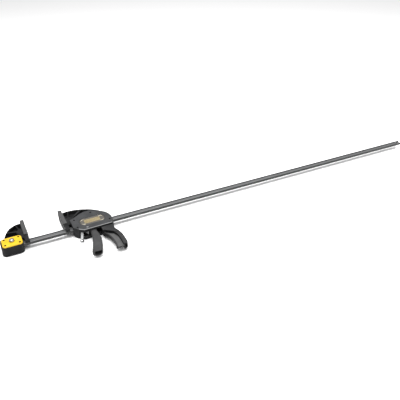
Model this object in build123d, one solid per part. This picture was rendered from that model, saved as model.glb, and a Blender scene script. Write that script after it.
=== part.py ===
from build123d import *
import os

# One-handed trigger bar clamp, millimetres.
# Working axes: x runs along the bar from the back of the fixed jaw, y runs from the bar's axis
# towards the jaw tips, z runs from the bar's middle towards the label side.
# save() moves every part so that the finished origin is the bottom centre of the whole clamp.

LENGTH = 1600.0          # back of the fixed jaw to the far end of the bar
TIP = 102.0              # jaw tips above the bar's axis
GRIP_END = -150.0        # end of the handle below the bar's axis
HALF_BODY = 19.0         # half thickness of the sliding head

BAR_HEIGHT = 20.0        # across the jaws
BAR_WIDTH = 9.0
BAR_WEB = 4.0
BAR_FLANGE = 3.2
BAR_START = 19.0         # the bar begins inside the fixed jaw
SLIDE_GAP = 0.2          # between the bar and everything that slides along it

FRAME_HALF = 14.0        # half thickness of the jaw castings
COVER_IN = FRAME_HALF
RIB_WEB_HALF = 3.0       # half thickness left at the bottom of the arm pockets
LEG_DEPTH = 14.0         # along the bar, of the leg under each pad
PAD_HALF = 17.5
PAD_THICK = 12.0
PAD_LOW = 20.0
GROOVES = 7              # across each clamping face
GROOVE_PITCH = 10.0
GROOVE_WIDTH = 1.6
GROOVE_DEPTH = 0.8
TONGUE_THICK = 4.8
ARM_TOP = 89.0           # top of the jaw arms where they meet the pads
FIXED_FACE = 83.5        # clamping face of the fixed pad
MOVING_FACE = 190.0      # clamping face of the moving pad

BUTTON_X = 33.5
BUTTON_R = 7.5
BUTTON_CROWN = 4.0
BUTTON_TOP = 26.0
LOCK_HOLE_R = 5.2
LOCK_SLOT = 6.2
FAR_HOLE_X = LENGTH - (BUTTON_X - BAR_START)
HOUSING_TOP = 15.0
PLATE_TOP = 18.5
PLATE_CENTRE = (33.5, -0.8)
PLATE_SIZE = (57.5, 45.0)
PLATE_SCREW_PITCH = (41.6, 29.0)

STOP_PIN_X = 1574.5
STOP_PIN_R = 2.5
STOP_PIN_HALF = 13.0

PIVOT = (262.0, 20.0)    # trigger pin
PIVOT_R = 3.0
PUSH_PIN = (269.0, -15.6)
PUSH_PIN_R = 3.0
DRIVE_PLATE_X = 272.15
DRIVE_PLATE_THICK = 3.0
DRIVE_PLATE_STEP = 3.4
DRIVE_PLATES = 3
BRAKE_PIVOT = (243.5, 28.0)
BRAKE_LEAN = 8.0         # degrees, foot of the brake plate towards the jaws
BRAKE_THICK = 4.0
ANCHOR_PIN = (252.4, -33.0)
ANCHOR_PIN_R = 2.2
KNOB = (223.0, -71.0)
KNOB_R = 6.3
SHOULDER_HALF = 12.0
FLANGE_HALF = 10.5
TRIGGER_SLOT_X = (252.0, 293.0)
TRIGGER_SLOT_HALF = 10.8
LEVER_SLOT_HALF = 8.8
FRONT_GUIDE = (216.0, 228.0)   # wear inserts round the bar at both ends of the head
REAR_GUIDE = (320.0, 331.0)
GUIDE_TALL = 13.5
GUIDE_HALF = 8.5
COVER_SCREWS = [(225.0, 22.0), (225.0, -21.0), (283.0, 43.0), (328.0, -19.0)]


def outline(*points, rounding=0.0):
    """Closed flat outline through the points, with every corner rounded if asked."""
    face = make_face(Polyline(*points, close=True))
    return fillet(face.vertices(), rounding) if rounding else face


def slab(face, low, high):
    """Flat outline given thickness from z = low to z = high."""
    return extrude(Pos(0, 0, low) * face, high - low, dir=(0, 0, 1))


def block(x, y, z):
    """Box from three (low, high) pairs."""
    size = [high - low for low, high in (x, y, z)]
    middle = [(high + low) / 2 for low, high in (x, y, z)]
    return Pos(*middle) * Box(*size)


def rod(centre, radius, low, high):
    """Cylinder along z at an (x, y) centre."""
    return Pos(centre[0], centre[1], (low + high) / 2) * Cylinder(radius, high - low)


def both_sides(shape):
    """A shape together with its mirror image through the bar's middle plane."""
    return shape + mirror(shape, about=Plane.XY)


def bar_space(low, high, gap):
    """Straight passage for the bar, with a gap all round."""
    return block((low, high), (-BAR_HEIGHT / 2 - gap, BAR_HEIGHT / 2 + gap),
                 (-BAR_WIDTH / 2 - gap, BAR_WIDTH / 2 + gap))


def spring(height, radius, wire, turns):
    """Helical wire spring standing on z = 0, of the given overall height."""
    rise = height - 2 * wire
    path = Helix(pitch=rise / turns, height=rise, radius=radius)
    section = Plane(origin=path @ 0, z_dir=path % 0) * Circle(wire)
    return Pos(0, 0, wire) * sweep(section, path=path, is_frenet=True)


def screw(centre, head_top, head_height, head_r, shank_r, low):
    """Pan-head screw along z with a cross recess in its head."""
    body = rod(centre, head_r, head_top - head_height, head_top)
    body += rod(centre, shank_r, low, head_top - head_height)
    cross = Box(head_r * 1.3, 0.8, 2.0) + Box(0.8, head_r * 1.3, 2.0)
    return body - Pos(centre[0], centre[1], head_top) * cross


def group(solids):
    """Several separate solids kept in one node."""
    return Compound([solid.solid() for solid in solids])


def save(name, shape):
    """Write one node, moved into the clamp's finished frame."""
    place = Pos(-LENGTH / 2, -(TIP + GRIP_END) / 2, HALF_BODY)
    export_step(place * shape, f"parts/{name}.step")


os.makedirs("parts", exist_ok=True)

# ---- bar: rolled I section with a keyhole at each end and a stop pin near the far one ----


def keyhole(x, end):
    """Round lock hole with a narrow slot that runs out of the bar's end."""
    low, high = sorted((x, end))
    slot = block((low, high), (-LOCK_SLOT / 2, LOCK_SLOT / 2), (-BAR_WIDTH, BAR_WIDTH))
    return rod((x, 0), LOCK_HOLE_R, -BAR_WIDTH, BAR_WIDTH) + slot


def make_bar():
    groove_depth = (BAR_WIDTH - BAR_WEB) / 2
    groove_face = fillet(Rectangle(BAR_HEIGHT - 2 * BAR_FLANGE, BAR_WIDTH - BAR_WEB).vertices(), 1.2)
    section = fillet(Rectangle(BAR_HEIGHT, BAR_WIDTH).vertices(), 0.8)
    for side in (-1, 1):
        section -= Pos(0, side * (BAR_WEB / 2 + groove_depth)) * groove_face
    body = extrude(Plane.YZ.offset(BAR_START) * section, LENGTH - BAR_START)
    body -= keyhole(BUTTON_X, 0)
    body -= keyhole(FAR_HOLE_X, LENGTH + 1)
    return body - rod((STOP_PIN_X, 0), STOP_PIN_R, -BAR_WIDTH, BAR_WIDTH)


def make_stop_pin():
    """Rolled spring pin: a tube with a slit along it."""
    centre = (STOP_PIN_X, 0)
    pin = rod(centre, STOP_PIN_R, -STOP_PIN_HALF, STOP_PIN_HALF)
    pin -= rod(centre, STOP_PIN_R - 0.9, -STOP_PIN_HALF, STOP_PIN_HALF)
    opening = (STOP_PIN_X, STOP_PIN_X + STOP_PIN_R + 1)
    return pin - block(opening, (-0.3, 0.3), (-STOP_PIN_HALF, STOP_PIN_HALF))


save("bar", make_bar())
save("bar_stop_pin", make_stop_pin())

# ---- pads: slip-on caps with a pocket for the jaw's tongue ----


def behind(face_x, back, near, far):
    """(low, high) x of the stretch from near to far behind a clamping face; back is +1 or -1."""
    return tuple(sorted((face_x + back * near, face_x + back * far)))


def make_pad(face_x, back):
    """Pad whose clamping face is at face_x; back is +1 or -1, the way to the jaw behind it."""
    pocket = (-FRAME_HALF - 0.2, FRAME_HALF + 0.2)
    cap = block(behind(face_x, back, 0, PAD_THICK), (PAD_LOW, TIP), (-PAD_HALF, PAD_HALF))
    tall = cap.edges().filter_by(Axis.Y).group_by(Axis.X)[0 if back > 0 else -1]
    cap = fillet(tall, 1.5)
    tip_edges = cap.edges().group_by(Axis.Y)[-1]
    cap = chamfer(tip_edges, 1.2)
    cap -= block(behind(face_x, back, 5, 10.2), (PAD_LOW, TIP - 3.8), pocket)
    cap -= block(behind(face_x, back, 10, PAD_THICK), (PAD_LOW, ARM_TOP + 0.6), pocket)
    for step in range(GROOVES):
        y = PAD_LOW + 12 + GROOVE_PITCH * step
        groove = behind(face_x, back, 0, GROOVE_DEPTH)
        cap -= block(groove, (y, y + GROOVE_WIDTH), (-PAD_HALF, PAD_HALF))
    return cap


save("fixed_jaw_pad", make_pad(FIXED_FACE, -1))
save("moving_jaw_pad", make_pad(MOVING_FACE, 1))


def make_jaw_front(face_x, back):
    """Tongue under the pad, and the leg below it that laps over the label side of the bar."""
    tongue = block(behind(face_x, back, 5.2, 5.2 + TONGUE_THICK), (PAD_LOW - 2, TIP - 4),
                   (-FRAME_HALF, FRAME_HALF))
    stretch = behind(face_x, back, 0.8, LEG_DEPTH)
    leg = block(stretch, (BAR_HEIGHT / 2 + 0.6, PAD_LOW - 0.3), (-FRAME_HALF, FRAME_HALF))
    lap = block(stretch, (-BAR_HEIGHT / 2, PAD_LOW - 0.3), (BAR_WIDTH / 2 + 0.4, FRAME_HALF))
    lap = chamfer(lap.edges().group_by(Axis.Y)[0].filter_by(Axis.X), 2.0)
    return tongue + leg + lap


# ---- fixed jaw ----


def make_housing_outline():
    """Rounded block that holds the end of the bar, with larger corners away from the jaw arm."""
    face = outline((0, -22), (63.5, -22), (63.5, 24), (3, 24), (0, 8))
    face = fillet(face.vertices().group_by(Axis.Y)[0], 13)
    return fillet(face.vertices().group_by(Axis.Y)[-1], 8)


def plate_screw_centres():
    """The four corners of the screw pattern in the lock plate."""
    (x, y), (along, across) = PLATE_CENTRE, PLATE_SCREW_PITCH
    return [(x + sx * along / 2, y + sy * across / 2) for sx in (-1, 1) for sy in (-1, 1)]


def make_fixed_jaw():
    """Housing for the bar's end with the ribbed jaw arm that rises from it."""
    face = make_housing_outline()
    frame = slab(face, -HALF_BODY, HOUSING_TOP)
    frame = chamfer(frame.edges().group_by(Axis.Z)[0], 1.5)
    hump = Spline((4, 8), (18, 38), (26, 58), (37, 73.5), (53.5, 85.5), (74, ARM_TOP))
    arm = make_face(hump + Polyline((74, ARM_TOP), (74, 8), (4, 8)))
    frame += slab(arm, -FRAME_HALF, FRAME_HALF)
    frame += make_jaw_front(FIXED_FACE, -1)
    pockets = [
        outline((63.5, 57), (70, 57), (70, 83), (59, 83), rounding=1.5),
        outline((29.5, 58), (53, 82.5), (55.5, 82.5), (60.5, 57), (56, 50), (33, 55.5), rounding=1.5),
        outline((13.5, 26), (24, 52), (52, 46), (58, 26), rounding=1.5),
    ]
    for pocket in pockets:
        frame -= both_sides(slab(pocket, RIB_WEB_HALF, FRAME_HALF))
    frame -= bar_space(BAR_START - 0.2, 90, 0.0)
    frame -= rod((BUTTON_X, 0), 9.3, 6, HOUSING_TOP)
    frame -= rod((BUTTON_X, 0), 5.3, -15, 6)
    for centre in plate_screw_centres():
        frame -= rod(centre, 1.6, 4, HOUSING_TOP)
    return frame


def make_lock_plate():
    face = Pos(*PLATE_CENTRE) * fillet(Rectangle(*PLATE_SIZE).vertices(), 9)
    plate = slab(face, HOUSING_TOP, PLATE_TOP)
    plate = chamfer(plate.edges().group_by(Axis.Z)[-1], 1.0)
    plate -= rod((BUTTON_X, 0), 8.0, HOUSING_TOP, PLATE_TOP)
    for centre in plate_screw_centres():
        plate -= rod(centre, 1.7, HOUSING_TOP, PLATE_TOP)
        plate -= rod(centre, 3.1, HOUSING_TOP + 1.3, PLATE_TOP)
    return plate


def make_lock_button():
    """Domed head and collar on a plunger whose thick end locks the bar's hole."""
    centre = (BUTTON_X, 0)
    crown_r = (BUTTON_R ** 2 + BUTTON_CROWN ** 2) / (2 * BUTTON_CROWN)
    head = rod(centre, BUTTON_R, HOUSING_TOP - 0.1, BUTTON_TOP)
    head &= Pos(BUTTON_X, 0, BUTTON_TOP - crown_r) * Sphere(crown_r)
    collar = rod(centre, 9.0, 12.0, HOUSING_TOP - 0.1)
    neck = rod(centre, LOCK_SLOT / 2 - 0.2, 3.0, 12.0)
    return head + collar + neck + rod(centre, LOCK_HOLE_R - 0.2, -5.0, 3.0)


save("fixed_jaw_frame", make_fixed_jaw())
save("lock_plate", make_lock_plate())
save("lock_plate_screws", group([screw(c, 18.0, 1.7, 2.9, 1.6, 4.5) for c in plate_screw_centres()]))
save("lock_button", make_lock_button())
save("lock_button_spring", Pos(BUTTON_X, 0, -15) * spring(10, 3.8, 0.45, 4))

# ---- sliding head: frame casting with the jaw arm, the mechanism's cavity and the handle ----


def make_body_outline():
    """Side view of the head's body, shared by the frame and both covers."""
    back = Spline((262, 57), (284, 56.5), (303, 48), (321, 35), (333, 19), (338, 0), (337, -28))
    rest = Polyline((337, -28), (330, -40), (240, -42), (226, -31), (213, -16), (213, 31), (222, 33.5),
                    (248, 51), (262, 57))
    return make_face(back + rest)


def make_arm_outline():
    top = Spline((200, 86), (224, 90), (244, 87.5), (260, 83), (275, 77), (290, 69), (309, 54), (323, 37))
    rest = Polyline((323, 37), (262, 20), (200, 12), (200, 86))
    return make_face(top + rest)


def make_grip_outline():
    front = Spline((293, -58), (297, -70), (303, -84), (306.8, -100), (307, -147))
    end = Polyline((307, -147), (309, GRIP_END + 1), (336, GRIP_END), (342, -144))
    back = Spline((342, -144), (342, -115), (339, -90), (333, -74), (329, -62))
    top = Polyline((329, -62), (333, -30), (293, -30), (293, -58))
    return make_face(front + end + back + top)


def make_grip():
    """Handle: thin web with a front bead, under a thick shoulder that runs on as the rear flange."""
    face = make_grip_outline()
    rear = trace(Spline((342, -150), (342, -115), (339, -90), (333, -74), (329, -62)), 26)
    bead = trace(Spline((293, -58), (297, -70), (303, -84), (306.8, -100), (307, -149)), 7)
    shoulder = outline((280, -27), (345, -27), (345, -84), (325, -82), (298, -61), (280, -61))
    handle = slab(face, -1.8, 1.8)
    for thick_part, half in [(rear, FLANGE_HALF), (bead, 5.0), (shoulder, SHOULDER_HALF)]:
        handle += slab(face, -half, half) & slab(thick_part, -half, half)
    return handle - block((332, 338.5), (GRIP_END, GRIP_END + 26), (-7, 7))


def make_cavity():
    """Room for the mechanism, open through both sides, with slots in its floor for lever and trigger."""
    room = outline((229.5, 31), (320, 31), (320, -24), (293, -30), (229.5, -30))
    room = slab(room, -FRAME_HALF, FRAME_HALF)
    room += block((226.5, TRIGGER_SLOT_X[0]), (-60, -29), (-LEVER_SLOT_HALF, LEVER_SLOT_HALF))
    return room + block(TRIGGER_SLOT_X, (-60, -29), (-TRIGGER_SLOT_HALF, TRIGGER_SLOT_HALF))


def make_head_frame():
    frame = slab(make_body_outline(), -FRAME_HALF, FRAME_HALF)
    frame += slab(make_arm_outline(), -FRAME_HALF, FRAME_HALF)
    frame += make_jaw_front(MOVING_FACE, 1)
    frame += make_grip()
    pockets = [
        outline((203.5, 52), (211, 52), (217.5, 85), (203.5, 83), rounding=1.5),
        outline((222, 86.5), (254, 79), (224, 47.5), (214.5, 55), rounding=1.5),
        outline((226.5, 44.5), (259, 77), (284, 66), (262, 58.5), (247, 52.5), (226, 38), rounding=1.0),
    ]
    for pocket in pockets:
        frame -= both_sides(slab(pocket, RIB_WEB_HALF, FRAME_HALF))
    frame -= make_cavity()
    frame -= bar_space(189, 216, SLIDE_GAP + 0.4)
    frame -= bar_space(330, 340, SLIDE_GAP + 0.4)
    for low, high in [(FRONT_GUIDE[0], 229.5), REAR_GUIDE]:
        frame -= block((low, high), (-GUIDE_TALL, GUIDE_TALL), (-GUIDE_HALF, GUIDE_HALF))
    for centre in COVER_SCREWS:
        frame -= rod(centre, 2.0, -FRAME_HALF, FRAME_HALF)
    frame -= rod(ANCHOR_PIN, ANCHOR_PIN_R, -FRAME_HALF, FRAME_HALF)
    seat = outline((238, 32), (240.2, 28), (238.6, 24), (234, 24), (232, 32))
    frame += slab(seat, -FRAME_HALF, FRAME_HALF)
    seat = outline((249, 32), (246.8, 28), (247.6, 24), (251, 24), (254, 32))
    return frame + slab(seat, -FRAME_HALF, FRAME_HALF)


def make_badge_outline(grow):
    """Long octagon centred on the cover."""
    long, tall, corner = 39.8 + grow, 18.2 + grow, 9.0
    return Pos(277, 0) * outline((-long, -tall + corner), (-long + corner, -tall), (long - corner, -tall),
                                 (long, -tall + corner), (long, tall - corner), (long - corner, tall),
                                 (-long + corner, tall), (-long, tall - corner))


def make_left_cover():
    """Label-side cover: bevelled rim, badge recess and counterbores for the screws."""
    cover = slab(make_body_outline(), COVER_IN, HALF_BODY)
    cover = chamfer(cover.edges().group_by(Axis.Z)[-1], 1.6)
    cover -= slab(make_badge_outline(0.0), HALF_BODY - 1.8, HALF_BODY)
    cover -= rod(PIVOT, PIVOT_R, COVER_IN, 17.0)
    cover -= rod(ANCHOR_PIN, ANCHOR_PIN_R, COVER_IN, HALF_BODY)
    for centre in COVER_SCREWS:
        cover -= rod(centre, 2.0, COVER_IN, HALF_BODY)
        cover -= rod(centre, 3.2, HALF_BODY - 3.2, HALF_BODY)
    return cover


def make_right_cover():
    """Plain-side cover: the same shell, with blind holes that the screws bite into."""
    cover = slab(make_body_outline(), -HALF_BODY, -COVER_IN)
    cover = chamfer(cover.edges().group_by(Axis.Z)[0], 1.6)
    cover -= slab(make_badge_outline(0.0), -HALF_BODY, -HALF_BODY + 1.8)
    for centre, radius in [(PIVOT, PIVOT_R), (ANCHOR_PIN, ANCHOR_PIN_R)]:
        cover -= rod(centre, radius, -17.0, -COVER_IN)
    for centre in COVER_SCREWS:
        cover -= rod(centre, 1.8, -17.0, -COVER_IN)
    return cover


def make_bar_guide(low, high):
    """Wear insert that carries the bar at one end of the head."""
    guide = block((low, high), (-GUIDE_TALL, GUIDE_TALL), (-GUIDE_HALF, GUIDE_HALF))
    return guide - bar_space(low, high, SLIDE_GAP)


def make_badge():
    """Thin octagonal badge with a raised border."""
    plate = slab(make_badge_outline(-0.4), HALF_BODY - 1.8, HALF_BODY - 0.3)
    return plate - slab(make_badge_outline(-3.0), HALF_BODY - 0.8, HALF_BODY)


save("head_frame", make_head_frame())
save("left_cover", make_left_cover())
save("right_cover", make_right_cover())
save("left_badge", make_badge())
save("right_badge", mirror(make_badge(), about=Plane.XY))
save("cover_screws", group([screw(c, 18.2, 2.4, 3.0, 1.8, -16.8) for c in COVER_SCREWS]))
save("front_bar_guide", make_bar_guide(*FRONT_GUIDE))
save("rear_bar_guide", make_bar_guide(*REAR_GUIDE))
save("trigger_pin", rod(PIVOT, PIVOT_R, -16.9, 16.9))
anchor_head = chamfer(rod(ANCHOR_PIN, 3.4, HALF_BODY, HALF_BODY + 1.4).edges().group_by(Axis.Z)[-1], 0.6)
save("spring_anchor_pin", rod(ANCHOR_PIN, ANCHOR_PIN_R, -16.9, HALF_BODY) + anchor_head)

# ---- drive: the trigger's push pin shoves a stack of plates that bite the bar ----


def make_drive_plates():
    plates = []
    for index in range(DRIVE_PLATES):
        x = DRIVE_PLATE_X + index * DRIVE_PLATE_STEP
        plate = block((x, x + DRIVE_PLATE_THICK), (-22, 27), (-11, 11))
        plate = fillet(plate.edges().filter_by(Axis.X), 3)
        plates.append(plate - bar_space(x, x + DRIVE_PLATE_THICK, SLIDE_GAP))
    return group(plates)


def make_drive_spring():
    """Spring round the bar, drawn at the length it has with the trigger fully squeezed."""
    return Pos(288.6, 0, 0) * Rot(0, 90, 0) * spring(31.2, 12.4, 1.0, 7)


def make_trigger():
    front = Spline((259, -30), (258, -52), (254, -76), (249.5, -95), (243.3, -115), (235.5, -137))
    end = Spline((235.5, -137), (239, -143), (246.5, -147), (254, -148), (261, -145.5), (266.5, -140))
    rear = Spline((266.5, -140), (271.8, -122), (276, -106), (279.6, -84), (279.4, -62), (276, -38))
    top = Polyline((276, -38), (268, -27), (259, -27), (259, -30))
    handle = slab(make_face(front + end + rear + top), -10, 10)
    long_edges = handle.edges().filter_by(lambda edge: abs(edge.center().Z) > 9 and edge.length > 60)
    handle = fillet(long_edges, 6)
    fork = slab(outline((254, -30), (254, 14), (270, 20), (268, -10), (266, -18), (268, -30)), -9.5, 9.5)
    fork += rod(PIVOT, 8.5, -9.5, 9.5)
    fork -= block((240, 280), (-13, 40), (-BAR_WIDTH / 2 - 0.7, BAR_WIDTH / 2 + 0.7))
    fork += rod(PUSH_PIN, 4.6, -9.5, 9.5) & block((254, 268), (-30, -12.2), (-10, 10))
    hollow = slab(outline((239, -152), (252, -96), (269.5, -96), (262.5, -152)), -7, 7)
    hollow = fillet([edge for edge in hollow.edges() if edge.length > 50], 5)
    body = handle + fork - hollow
    body -= rod(PUSH_PIN, PUSH_PIN_R, -9.5, 9.5)
    return body - rod(PIVOT, PIVOT_R + 0.05, -9.5, 9.5)


save("drive_plates", make_drive_plates())
save("drive_spring", make_drive_spring())
save("trigger", make_trigger())
save("push_pin", rod(PUSH_PIN, PUSH_PIN_R, -9.5, 9.5))

# ---- brake: a leaning plate that grips the bar until its chromed lever is pulled back ----


def lean(shape):
    """Turn a part drawn upright below the brake's pivot to its leaning rest position."""
    return Pos(*BRAKE_PIVOT) * Rot(0, 0, -BRAKE_LEAN) * shape


def make_brake_plate():
    half = BRAKE_THICK / 2
    plate = block((-half, half), (-54, 0), (-9, 9)) + rod((0, 0), half, -9, 9)
    plate -= block((-half, half), (-38.9, -17.65), (-BAR_WIDTH / 2 - SLIDE_GAP, BAR_WIDTH / 2 + SLIDE_GAP))
    plate -= both_sides(block((-half, half), (-54, -44), (5, 9)))
    return lean(plate)


def make_release_lever():
    """Tapered lever on the foot of the brake plate, with a ball for the fingertip."""
    blade = outline((231.8, -24), (240.8, -24), (236.5, -40), (228, -66), (221.5, -64), (228.5, -40))
    lever = slab(blade, -7, 7)
    lever = fillet(lever.edges().filter_by(Axis.Z, reverse=True), 1.5)
    lever += Pos(*KNOB) * Sphere(KNOB_R)
    return lever - make_brake_plate()


save("brake_plate", make_brake_plate())
save("release_lever", make_release_lever())
save("brake_spring", Pos(245, -33, 0) * Rot(0, 90, 0) * spring(5.0, 3.6, 0.45, 4))
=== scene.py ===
"""Looks of the trigger bar clamp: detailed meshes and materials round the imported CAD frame."""
import math

import bmesh
import bpy
from mathutils import Matrix, Vector


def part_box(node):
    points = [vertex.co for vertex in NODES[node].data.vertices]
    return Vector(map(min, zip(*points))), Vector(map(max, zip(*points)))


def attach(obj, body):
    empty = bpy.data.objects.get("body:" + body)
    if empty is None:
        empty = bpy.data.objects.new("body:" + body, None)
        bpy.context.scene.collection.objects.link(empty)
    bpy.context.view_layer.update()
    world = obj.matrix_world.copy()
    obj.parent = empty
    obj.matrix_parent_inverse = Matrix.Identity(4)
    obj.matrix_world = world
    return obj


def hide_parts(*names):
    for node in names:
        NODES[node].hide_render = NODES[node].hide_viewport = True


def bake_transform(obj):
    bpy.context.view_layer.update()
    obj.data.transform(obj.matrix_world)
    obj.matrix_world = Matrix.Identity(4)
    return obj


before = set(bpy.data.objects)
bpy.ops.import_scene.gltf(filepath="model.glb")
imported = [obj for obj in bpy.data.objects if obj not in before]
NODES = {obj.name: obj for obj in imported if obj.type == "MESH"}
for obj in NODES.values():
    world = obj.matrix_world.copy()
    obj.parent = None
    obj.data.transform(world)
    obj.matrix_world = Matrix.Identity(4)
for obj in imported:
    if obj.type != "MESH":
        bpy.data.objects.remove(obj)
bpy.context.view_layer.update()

MM = 0.001

# The CAD's working axes start at the back of the fixed jaw, on the bar's axis and in its middle.
BAR_LOW, BAR_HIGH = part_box("bar")
JAW_LOW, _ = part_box("fixed_jaw_frame")
ORIGIN = Vector((JAW_LOW.x, (BAR_LOW.y + BAR_HIGH.y) / 2, (BAR_LOW.z + BAR_HIGH.z) / 2))


def place(x, y, z):
    """Point in the frame, in metres, from working millimetres."""
    return ORIGIN + Vector((x, y, z)) * MM


# ---------------------------------------------------------------- camera, floor and light

CAMERA_AT = Vector((-0.78977, -1.24941, 0.90495))
CAMERA_AZIMUTH = math.radians(-26.95)
CAMERA_DOWN = math.radians(32.3)
CAMERA_LENS = 43.61
SENSOR = 36.0
WORLD_LIGHT = 0.7
FLOOR_TONE = (0.95, 0.95, 0.95, 1.0)


def add_camera():
    data = bpy.data.cameras.new("camera")
    data.sensor_width = SENSOR
    data.lens = CAMERA_LENS
    data.clip_start = 0.05
    data.clip_end = 60.0
    camera = bpy.data.objects.new("camera", data)
    bpy.context.scene.collection.objects.link(camera)
    camera.location = CAMERA_AT
    camera.rotation_euler = (math.pi / 2 - CAMERA_DOWN, 0.0, CAMERA_AZIMUTH)
    bpy.context.scene.camera = camera


def add_area_light(name, at, target, size, power):
    data = bpy.data.lights.new(name, "AREA")
    data.shape = "DISK"
    data.size = size
    data.energy = power
    light = bpy.data.objects.new(name, data)
    bpy.context.scene.collection.objects.link(light)
    light.location = at
    light.rotation_euler = (Vector(target) - Vector(at)).to_track_quat("-Z", "Y").to_euler()


def set_plain_colours():
    """Plain display colours, so that white stays white and the yellow keeps its strength."""
    settings = bpy.context.scene.view_settings
    settings.view_transform = "Standard"
    settings.look = "None"


def add_lights():
    head = place(250, 0, 0)
    add_area_light("key", head + Vector((-0.5, 0.2, 2.5)), head, size=2.6, power=76.0)
    add_area_light("side", head + Vector((-2.2, 0.2, 1.2)), head, size=1.0, power=8.0)
    add_area_light("far", place(1300, -100, 2500), place(1200, 0, 0), size=3.2, power=80.0)
    world = bpy.data.worlds.new("soft_white")
    bpy.context.scene.world = world
    world.use_nodes = True
    background = world.node_tree.nodes["Background"]
    background.inputs["Color"].default_value = (1.0, 1.0, 1.0, 1.0)
    background.inputs["Strength"].default_value = WORLD_LIGHT


def add_floor():
    mesh = bpy.data.meshes.new("floor")
    half = 14.0
    below = -0.0006
    corners = [(-half, -half, below), (half, -half, below), (half, half, below), (-half, half, below)]
    mesh.from_pydata(corners, [], [(0, 1, 2, 3)])
    floor = bpy.data.objects.new("floor", mesh)
    bpy.context.scene.collection.objects.link(floor)
    shader = new_material("floor_paper")
    shader["Base Color"].default_value = FLOOR_TONE
    shader["Roughness"].default_value = 0.9
    mesh.materials.append(bpy.data.materials["floor_paper"])


# ---------------------------------------------------------------- materials

CLOUD_CELLS = 38.0                    # noise cells in a metre: colour clouds of the mouldings,
GLOSS_CELLS = 130.0                   # their roughness,
TARNISH_CELLS = 24.0                  # and the tarnish of the metals
MIX_COLOUR_A, MIX_COLOUR_B = 6, 7     # a Mix node's sockets that carry colours
MIX_COLOUR_OUT = 2
PLASTIC_SPECULAR = 0.09
COAT_ROUGHNESS = 0.25
METAL_EDGE_GAIN = 1.35


def new_material(name):
    """Material with one Principled shader; gives back the shader's inputs."""
    material = bpy.data.materials.new(name)
    material.use_nodes = True
    return material.node_tree.nodes["Principled BSDF"].inputs


def add_node(tree, kind, **settings):
    node = tree.nodes.new(kind)
    for key, value in settings.items():
        setattr(node, key, value)
    return node


def noise(tree, scale, detail=4.0, stretch=(1, 1, 1)):
    """Noise over the piece's own coordinates; scale counts cells in a metre."""
    where = add_node(tree, "ShaderNodeTexCoord")
    mapping = add_node(tree, "ShaderNodeMapping")
    mapping.inputs["Scale"].default_value = stretch
    tree.links.new(where.outputs["Object"], mapping.inputs["Vector"])
    texture = add_node(tree, "ShaderNodeTexNoise")
    texture.inputs["Scale"].default_value = scale
    texture.inputs["Detail"].default_value = detail
    tree.links.new(mapping.outputs["Vector"], texture.inputs["Vector"])
    return texture.outputs["Fac"]


def ramp(tree, factor, stops):
    """Colour ramp through (position, colour) stops."""
    node = add_node(tree, "ShaderNodeValToRGB")
    while len(node.color_ramp.elements) < len(stops):
        node.color_ramp.elements.new(0.5)
    for element, (position, colour) in zip(node.color_ramp.elements, stops):
        element.position = position
        element.color = (*colour, 1.0)
    tree.links.new(factor, node.inputs["Fac"])
    return node.outputs["Color"]


def spread(tree, factor, low, high):
    """The factor, near 0.5 on average, mapped to low..high."""
    node = add_node(tree, "ShaderNodeMapRange")
    node.inputs["From Min"].default_value = 0.3
    node.inputs["From Max"].default_value = 0.7
    node.inputs["To Min"].default_value = low
    node.inputs["To Max"].default_value = high
    tree.links.new(factor, node.inputs["Value"])
    return node.outputs["Result"]


def edge_wear(tree, colour, worn, low, high):
    """Lighten convex edges; low and high bound the pointiness over which it sets in."""
    geometry = add_node(tree, "ShaderNodeNewGeometry")
    span = add_node(tree, "ShaderNodeMapRange")
    span.inputs["From Min"].default_value = low
    span.inputs["From Max"].default_value = high
    tree.links.new(geometry.outputs["Pointiness"], span.inputs["Value"])
    mix = add_node(tree, "ShaderNodeMix", data_type="RGBA")
    tree.links.new(span.outputs["Result"], mix.inputs["Factor"])
    tree.links.new(colour, mix.inputs[MIX_COLOUR_A])
    mix.inputs[MIX_COLOUR_B].default_value = (*worn, 1.0)
    return mix.outputs[MIX_COLOUR_OUT]


def bump(tree, height, strength, distance):
    node = add_node(tree, "ShaderNodeBump")
    node.inputs["Strength"].default_value = strength
    node.inputs["Distance"].default_value = distance
    tree.links.new(height, node.inputs["Height"])
    return node.outputs["Normal"]


def moulded(name, dark, light, rough, grain=1400.0, depth=0.00004, wear=0.35, coat=0.0):
    """Moulded plastic or rubber: cloudy colour, fine texture and lighter edges."""
    shader = new_material(name)
    tree = bpy.data.materials[name].node_tree
    cloud = noise(tree, CLOUD_CELLS, 5.0)
    colour = ramp(tree, cloud, [(0.3, dark), (0.7, light)])
    worn = tuple(min(1.0, channel * (1 + wear) + 0.01 * wear) for channel in light)
    colour = edge_wear(tree, colour, worn, 0.52, 0.62)
    tree.links.new(colour, shader["Base Color"])
    tree.links.new(spread(tree, noise(tree, GLOSS_CELLS, 3.0), *rough), shader["Roughness"])
    tree.links.new(bump(tree, noise(tree, grain, 2.0), 0.5, depth), shader["Normal"])
    shader["Specular IOR Level"].default_value = PLASTIC_SPECULAR
    shader["Coat Weight"].default_value = coat
    shader["Coat Roughness"].default_value = COAT_ROUGHNESS
    return bpy.data.materials[name]


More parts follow.
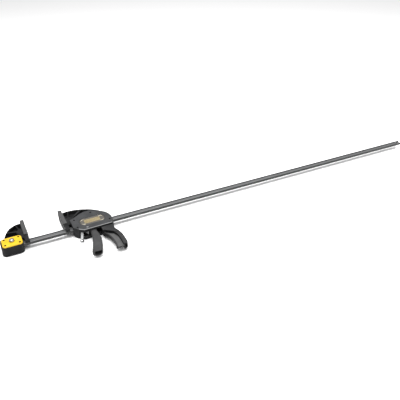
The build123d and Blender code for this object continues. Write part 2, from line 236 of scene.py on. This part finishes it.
def metal(name, dark, light, rough, stretch=(1, 1, 1), grain=900.0, depth=0.00001, metallic=1.0):
    """Metal: grain along the stretched axis with cloudy tarnish over it."""
    shader = new_material(name)
    tree = bpy.data.materials[name].node_tree
    streak = noise(tree, grain, 4.0, stretch)
    colour = ramp(tree, noise(tree, TARNISH_CELLS, 6.0), [(0.3, dark), (0.7, light)])
    worn = tuple(min(1.0, channel * METAL_EDGE_GAIN) for channel in light)
    colour = edge_wear(tree, colour, worn, 0.53, 0.64)
    tree.links.new(colour, shader["Base Color"])
    tree.links.new(spread(tree, streak, *rough), shader["Roughness"])
    tree.links.new(bump(tree, streak, 0.35, depth), shader["Normal"])
    shader["Metallic"].default_value = metallic
    return bpy.data.materials[name]


ALONG_BAR = (0.02, 1.0, 1.0)
NYLON = moulded("black_nylon_fine", (0.0052, 0.0054, 0.0058), (0.0104, 0.0107, 0.0114), (0.4, 0.58),
                wear=0.5)
BODY = moulded("grey_body_satin", (0.0170, 0.0170, 0.0176), (0.0280, 0.0280, 0.0286), (0.38, 0.54))
COVER = moulded("grey_cover_satin", (0.0282, 0.0288, 0.0301), (0.0422, 0.0429, 0.0448), (0.36, 0.5))
TRIGGER = moulded("grey_trigger_satin", (0.0320, 0.0320, 0.0326), (0.0474, 0.0474, 0.0480), (0.38, 0.52))
# painted light: a lighter grey for the handle's web, where the light falls on it
WEB_PAINTED_LIGHT = moulded("grey_web_painted_light", (0.0640, 0.0640, 0.0640), (0.0900, 0.0900, 0.0900), (0.38, 0.52))
# painted highlight: a pale grey for the cover's lower bevel
BEVEL_PAINTED_HIGHLIGHT = moulded("grey_bevel_painted_highlight", (0.140, 0.141, 0.143), (0.200, 0.201, 0.204), (0.3, 0.42))
RUBBER = moulded("pad_rubber_soft", (0.0384, 0.0384, 0.0390), (0.0563, 0.0563, 0.0563), (0.6, 0.78),
                 grain=2200.0, wear=0.2)
YELLOW = moulded("yellow_plate_satin", (0.512, 0.301, 0.0077), (0.576, 0.384, 0.0160), (0.28, 0.42),
                 depth=0.00002, wear=0.08, coat=0.3)
ACETAL = moulded("guide_acetal_plain", (0.333, 0.333, 0.320), (0.397, 0.397, 0.384), (0.35, 0.5))
BAR = metal("bar_steel_dark", (0.0768, 0.0781, 0.0800), (0.128, 0.130, 0.132), (0.36, 0.56), ALONG_BAR,
            depth=0.00003, metallic=0.6)
# painted shade: a dark steel for the faces that look across the bar
BAR_PAINTED_SHADE = metal("bar_steel_painted_shade", (0.0080, 0.0080, 0.0088), (0.0154, 0.0157, 0.0160), (0.42, 0.6),
                 ALONG_BAR, depth=0.00003, metallic=0.3)
PIN = metal("pin_steel_ground", (0.307, 0.307, 0.314), (0.397, 0.397, 0.403), (0.2, 0.34))
PLATE = metal("plate_steel_hard", (0.192, 0.192, 0.198), (0.269, 0.269, 0.275), (0.3, 0.48), (1, 1, 0.1))
SPRING = metal("spring_steel_wire", (0.230, 0.230, 0.237), (0.320, 0.320, 0.326), (0.24, 0.4))
SCREW = moulded("screw_black_oxide", (0.0016, 0.0016, 0.0018), (0.0032, 0.0032, 0.0035), (0.6, 0.75),
                wear=0.2)
BUTTON = metal("button_turned_steel", (0.192, 0.186, 0.173), (0.282, 0.275, 0.262), (0.2, 0.34))
BALL = metal("lever_ball_chrome", (0.269, 0.272, 0.275), (0.346, 0.349, 0.352), (0.08, 0.16), depth=0.000004)
CHROME = metal("lever_chrome_bright", (0.512, 0.518, 0.525), (0.589, 0.595, 0.602), (0.10, 0.2),
               depth=0.000004, metallic=0.6)
BADGE = metal("badge_pale_gold", (0.243, 0.192, 0.0960), (0.320, 0.262, 0.154), (0.24, 0.4), ALONG_BAR,
              metallic=0.7)
BADGE_DARK = metal("badge_dark_bronze", (0.0560, 0.0510, 0.0440), (0.0880, 0.0810, 0.0710), (0.3, 0.46),
                   ALONG_BAR, metallic=0.6)
# painted highlight: a bright metal for the badge's corner facets
FACET_PAINTED_HIGHLIGHT = metal("badge_facet_painted_highlight", (0.448, 0.410, 0.320), (0.550, 0.512, 0.422), (0.12, 0.22))

MATERIAL_OF = {
    "bar": BAR, "bar_stop_pin": PIN, "fixed_jaw_frame": NYLON, "lock_plate": YELLOW,
    "lock_plate_screws": SCREW, "lock_button": BUTTON, "lock_button_spring": SPRING,
    "fixed_jaw_pad": RUBBER, "moving_jaw_pad": RUBBER, "head_frame": NYLON, "left_cover": COVER,
    "right_cover": COVER, "left_badge": BADGE, "right_badge": BADGE, "cover_screws": SCREW,
    "front_bar_guide": ACETAL, "rear_bar_guide": ACETAL, "trigger_pin": PIN, "spring_anchor_pin": PIN,
    "drive_plates": PLATE, "drive_spring": SPRING, "trigger": TRIGGER, "push_pin": PIN,
    "brake_plate": PLATE, "release_lever": CHROME, "brake_spring": SPRING,
}


def dress_cad_nodes():
    for name, node in NODES.items():
        node.data.materials.clear()
        node.data.materials.append(MATERIAL_OF[name])


# ---------------------------------------------------------------- detailed pieces

ROOT = "bar_and_fixed_jaw"
HEAD = "sliding_head"
BADGE_CENTRE = (277.0, 0.0)
BADGE_HALF = (39.4, 17.8, 8.8)        # half length, half height and corner cut
CUT_GROWTH = 0.4                      # growth of that cut for each millimetre the outline grows
RECESS_FLOOR = 17.2
BADGE_GROUND = 17.9
PANEL_X = (251.5, 301.5)
PANEL_HALF = 10.0
PANEL_LINES, LINE_PITCH, LINE_HALF = 5, 4.0, 0.7
FACET_OFF, FACET_HALF, FACET_TURN = (29.5, 12.2), (6.5, 1.7), 0.42
PANEL_Z, LINE_Z, FACET_Z = (17.85, 18.4), (18.35, 18.75), (17.85, 18.85)
KNOB_AT = (223.0, -71.0, 0.0)
KNOB_R = 6.3
BUTTON_AT = (33.5, 0.0)
BUTTON_R = 7.35
DOME_FOOT, DOME_RISE = 22.4, 3.6
SPRING_ENDS = (-14.5, -5.5)
COIL_R, WIRE_R, TURNS = 3.8, 0.45, 4
CAD_SCREW_R = 2.9
SCREW_R = 3.4
BEND = 38.0                           # degrees; an edge that bends more is softened
WELD = 0.00001                        # metres
FLAT = 0.6                            # degrees; faces that bend less are joined


def new_piece(name, bm, material):
    """Object with the bmesh as its mesh; the bmesh is freed."""
    mesh = bpy.data.meshes.new(name)
    bm.to_mesh(mesh)
    bm.free()
    mesh.materials.append(material)
    piece = bpy.data.objects.new(name, mesh)
    bpy.context.scene.collection.objects.link(piece)
    return piece


def finish_piece(name, bm, material, body, width=0.0):
    """Turn a bmesh in working millimetres into a piece, with softened edges; body None leaves it free."""
    bmesh.ops.recalc_face_normals(bm, faces=bm.faces)
    for vertex in bm.verts:
        vertex.co = place(*vertex.co)
    piece = new_piece(name, bm, material)
    soften(piece, width)
    if body:
        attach(piece, body)
    return piece


def soften(piece, width):
    """Round the edges that bend more than BEND by width millimetres, and shade the rest smooth."""
    if width:
        bevel = piece.modifiers.new("soft_edges", "BEVEL")
        bevel.width = width * MM
        bevel.segments = 2
        bevel.limit_method = "ANGLE"
        bevel.angle_limit = math.radians(BEND)
    for face in piece.data.polygons:
        face.use_smooth = True
    piece.data.set_sharp_from_angle(angle=math.radians(BEND))


def moulded_copy(node, body, width, cuts=()):
    """Detailed copy of a CAD node: welded, flat faces joined and cut at colour borders, edges softened."""
    bm = bmesh.new()
    bm.from_mesh(NODES[node].data)
    bmesh.ops.remove_doubles(bm, verts=bm.verts, dist=WELD)
    bmesh.ops.dissolve_limit(bm, angle_limit=math.radians(FLAT), verts=bm.verts, edges=bm.edges)
    for (x0, y0), (x1, y1) in cuts:
        bmesh.ops.bisect_plane(bm, geom=bm.verts[:] + bm.edges[:] + bm.faces[:],
                               plane_co=place(x0, y0, 0), plane_no=(y0 - y1, x1 - x0, 0))
    piece = new_piece(node + "_soft", bm, MATERIAL_OF[node])
    soften(piece, width)
    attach(piece, body)
    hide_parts(node)
    return piece


WALL = 0.4        # a face whose normal has less than this along z is a wall
BEVEL = 0.9       # and less than this, a bevel
ACROSS = 0.5      # a face with more than this along y looks across the bar


def paint_bar_shade(piece):
    """Painted shade: the faces that look across the bar, its two edges and the inner walls of its flanges,
    get a dark steel.
    """
    piece.data.materials.append(BAR_PAINTED_SHADE)
    for face in piece.data.polygons:
        if abs(face.normal.y) > ACROSS:
            face.material_index = 1


# Border between the black jaw arm, above and in front, and the grey body of the head.
BODY_BORDER = [(213.5, -40.0), (213.5, 31.0), (222.0, 33.5), (248.0, 51.0), (262.0, 57.0), (284.0, 56.5),
               (303.0, 48.0), (321.0, 35.0), (345.0, -10.0)]
BODY_CUTS = list(zip(BODY_BORDER, BODY_BORDER[1:]))
BORDER_MARGIN = 0.5
WEB_TOP = (-62.0, 2.5)                # the handle's web, which gets painted light: highest y, and half thickness with a margin


def two_tone_body_painted_light_and_shade(piece):
    """Body and handle of the head frame are grey and the jaw arm black; walls stay black as painted shade,
    and the web is lighter as painted light.
    """
    piece.data.materials.append(BODY)
    piece.data.materials.append(WEB_PAINTED_LIGHT)
    for face in piece.data.polygons:
        spot = (face.center - ORIGIN) / MM
        # painted shade: walls keep the black frame material, also on the grey body
        if abs(face.normal.z) < WALL:
            continue
        for (x0, y0), (x1, y1) in BODY_CUTS[1:]:
            if x0 <= spot.x <= x1 and spot.y < y0 + (y1 - y0) * (spot.x - x0) / (x1 - x0) + BORDER_MARGIN:
                face.material_index = 1
        # painted light: the web gets a lighter grey
        if spot.y < WEB_TOP[0] and abs(spot.z) < WEB_TOP[1]:
            face.material_index = 2


def paint_cover_shade_and_highlight(piece):
    """Painted shade and highlight: the cover's walls get the black frame material, and its lower bevel a
    pale grey.
    """
    piece.data.materials.append(NYLON)
    piece.data.materials.append(BEVEL_PAINTED_HIGHLIGHT)
    for face in piece.data.polygons:
        # painted shade: the walls get the black frame material
        if abs(face.normal.z) < WALL:
            face.material_index = 1
        # painted highlight: the lower bevel turns pale
        elif abs(face.normal.z) < BEVEL and face.normal.y < -ACROSS:
            face.material_index = 2


def loft(bm, rings, close_low=True, close_high=True):
    """Skin through rings of points; every ring has the same number of points."""
    loops = [[bm.verts.new(point) for point in ring] for ring in rings]
    for low, high in zip(loops, loops[1:]):
        for i in range(len(low)):
            j = (i + 1) % len(low)
            bm.faces.new((low[i], low[j], high[j], high[i]))
    if close_low:
        bm.faces.new(list(reversed(loops[0])))
    if close_high:
        bm.faces.new(loops[-1])
    return loops


def circle(centre, radius, z, steps=40):
    """Points round a circle at height z."""
    turn = 2 * math.pi / steps
    return [(centre[0] + radius * math.cos(i * turn), centre[1] + radius * math.sin(i * turn), z)
            for i in range(steps)]


def octagon(grow, z):
    """Badge outline, shrunk or grown, at height z."""
    (cx, cy), (long, tall, cut) = BADGE_CENTRE, BADGE_HALF
    long, tall, cut = long + grow, tall + grow, cut + CUT_GROWTH * grow
    corners = [(-long, -tall + cut), (-long + cut, -tall), (long - cut, -tall), (long, -tall + cut),
               (long, tall - cut), (long - cut, tall), (-long + cut, tall), (-long, tall - cut)]
    return [(cx + x, cy + y, z) for x, y in corners]


def box_into(bm, x, y, z, turn=0.0):
    """Box from (low, high) pairs, turned about its own middle."""
    cx, cy = (x[0] + x[1]) / 2, (y[0] + y[1]) / 2
    c, s = math.cos(turn), math.sin(turn)
    corners = [(x[0] - cx, y[0] - cy), (x[1] - cx, y[0] - cy),
               (x[1] - cx, y[1] - cy), (x[0] - cx, y[1] - cy)]
    flat = [(cx + px * c - py * s, cy + px * s + py * c) for px, py in corners]
    loft(bm, [[(px, py, height) for px, py in flat] for height in z])


def on_side(side, span):
    """Heights of a span on the label side, 1, or the far side, -1."""
    return side * span[0], side * span[1]


def add_badge(side):
    """Octagonal badge: raised rim, dark ground, plain gold panel with long lines, four facets made bright as
    a painted highlight.
    """
    node = "left_badge" if side > 0 else "right_badge"
    rim = bmesh.new()
    profile = [(0.0, RECESS_FLOOR), (0.0, 18.5), (-0.5, 18.9), (-1.6, 18.9), (-2.6, 18.0),
               (-2.6, RECESS_FLOOR)]
    loops = loft(rim, [octagon(grow, side * z) for grow, z in profile], False, False)
    for i in range(8):
        j = (i + 1) % 8
        rim.faces.new((loops[-1][i], loops[-1][j], loops[0][j], loops[0][i]))
    rim_piece = finish_piece(f"{node}_rim", rim, BADGE_DARK, HEAD, 0.25)
    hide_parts(node)
    ground = bmesh.new()
    loft(ground, [octagon(-2.5, side * z) for z in (RECESS_FLOOR, BADGE_GROUND)])
    finish_piece(f"{node}_ground", ground, BADGE_DARK, HEAD)
    gold = bmesh.new()
    box_into(gold, PANEL_X, (-PANEL_HALF, PANEL_HALF), on_side(side, PANEL_Z))
    for line in range(PANEL_LINES):
        y = (line - (PANEL_LINES - 1) / 2) * LINE_PITCH
        box_into(gold, (PANEL_X[0] + 2, PANEL_X[1] - 2), (y - LINE_HALF, y + LINE_HALF),
                 on_side(side, LINE_Z))
    finish_piece(f"{node}_panel", gold, BADGE, HEAD, 0.15)
    # painted highlight: four corner facets in a bright metal
    facets = bmesh.new()
    for sx in (-1, 1):
        for sy in (-1, 1):
            x, y = BADGE_CENTRE[0] + sx * FACET_OFF[0], sy * FACET_OFF[1]
            box_into(facets, (x - FACET_HALF[0], x + FACET_HALF[0]), (y - FACET_HALF[1], y + FACET_HALF[1]),
                     on_side(side, FACET_Z), -sx * sy * FACET_TURN)
    finish_piece(f"{node}_facets", facets, FACET_PAINTED_HIGHLIGHT, HEAD, 0.3)


def add_release_lever():
    """Chromed lever: a tapered strap with rounded sides that swells into a ball."""
    bm = bmesh.new()
    path = [((236.3, -26.0), 5.2, 6.8), ((234.0, -34.0), 5.2, 6.8), ((231.6, -43.0), 5.2, 6.6),
            ((229.0, -52.0), 5.0, 6.4), ((226.6, -60.0), 4.6, 5.8), ((224.8, -66.0), 4.4, 5.0)]
    steps = 24
    squareness = 0.55
    slant = 0.32
    rings = []
    for (x, y), half_wide, half_deep in path:
        ring = []
        for i in range(steps):
            angle = 2 * math.pi * i / steps
            c, s = math.cos(angle), math.sin(angle)
            across = half_wide * math.copysign(abs(c) ** squareness, c)
            deep = half_deep * math.copysign(abs(s) ** squareness, s)
            ring.append((x + across, y + across * slant, deep))
        rings.append(ring)
    loft(bm, rings)
    lever = finish_piece("release_lever_strap", bm, CHROME, "brake_lever", 0.5)
    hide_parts("release_lever")
    ball = bmesh.new()
    bmesh.ops.create_uvsphere(ball, u_segments=40, v_segments=24, radius=KNOB_R,
                              matrix=Matrix.Translation(KNOB_AT))
    finish_piece("release_lever_ball", ball, BALL, "brake_lever")


def add_lock_button():
    """Domed button with a turned groove round its edge, on the collar of its plunger."""
    bm = bmesh.new()
    profile = [(2.9, -4.9), (4.9, -4.9), (4.9, 2.9), (2.9, 3.1), (2.9, 11.9), (8.9, 12.1), (8.9, 14.8),
               (7.4, 15.0), (7.4, 20.6), (6.9, 21.0), (6.9, 21.5), (7.4, 21.9), (BUTTON_R, DOME_FOOT)]
    dome = [(BUTTON_R * math.cos(a), DOME_FOOT + DOME_RISE * math.sin(a)) for a in
            [math.radians(12 * k) for k in range(1, 8)]]
    loft(bm, [circle(BUTTON_AT, radius, z) for radius, z in profile + dome])
    button = finish_piece("lock_button_turned", bm, BUTTON, "lock_button")
    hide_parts("lock_button")


def add_button_spring():
    """Wire spring under the lock button, between the jaw and the button, drawn at its resting length."""
    low, high = SPRING_ENDS
    steps, sides = 24, 8
    rings = []
    for i in range(TURNS * steps + 1):
        angle = 2 * math.pi * i / steps
        height = low + (high - low) * i / (TURNS * steps)
        ring = []
        for k in range(sides):
            round_wire = 2 * math.pi * k / sides
            radius = COIL_R + WIRE_R * math.cos(round_wire)
            ring.append((BUTTON_AT[0] + radius * math.cos(angle), BUTTON_AT[1] + radius * math.sin(angle),
                         height + WIRE_R * math.sin(round_wire)))
        rings.append(ring)
    bm = bmesh.new()
    loft(bm, rings)
    piece = finish_piece("lock_button_spring_wire", bm, SPRING, None)
    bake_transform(piece)
    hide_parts("lock_button_spring")


def add_plate_screws():
    """Four black button heads with round sockets, standing just proud of the lock plate."""
    low, high = [(corner - ORIGIN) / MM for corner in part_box("lock_plate_screws")]
    top = (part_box("lock_plate")[1].z - ORIGIN.z) / MM
    profile = [(SCREW_R, top - 0.5), (SCREW_R, top + 0.1), (SCREW_R - 0.5, top + 0.5), (1.8, top + 0.5),
               (1.7, top - 0.9)]
    bm = bmesh.new()
    for x in (low.x + CAD_SCREW_R, high.x - CAD_SCREW_R):
        for y in (low.y + CAD_SCREW_R, high.y - CAD_SCREW_R):
            loft(bm, [circle((x, y), radius, z, 24) for radius, z in profile])
    screws = finish_piece("lock_plate_screw_heads", bm, SCREW, ROOT)
    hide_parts("lock_plate_screws")


# Copied node: its body, its slot and the width of its softened edges in millimetres.
MOULDINGS = {
    "bar": (ROOT, "bar_steel", 0.0),
    "fixed_jaw_frame": (ROOT, "black_nylon", 0.7),
    "lock_plate": (ROOT, "yellow_plate", 0.35),
    "fixed_jaw_pad": (ROOT, "pad_rubber", 0.3),
    "moving_jaw_pad": (HEAD, "pad_rubber", 0.3),
    "head_frame": (HEAD, "black_nylon", 0.7),
    "left_cover": (HEAD, "grey_cover", 0.5),
    "right_cover": (HEAD, "grey_cover", 0.5),
    "trigger": ("trigger", "grey_trigger", 0.5),
}
SHADING = {"bar": paint_bar_shade, "head_frame": two_tone_body_painted_light_and_shade, "left_cover": paint_cover_shade_and_highlight, "right_cover": paint_cover_shade_and_highlight}

set_plain_colours()
add_camera()
add_floor()
add_lights()
dress_cad_nodes()
for moulding, (body, slot, width) in MOULDINGS.items():
    piece = moulded_copy(moulding, body, width, BODY_CUTS if moulding == "head_frame" else ())
    if moulding in SHADING:
        SHADING[moulding](piece)
for side in (1, -1):
    add_badge(side)
add_release_lever()
add_lock_button()
add_button_spring()
add_plate_screws()
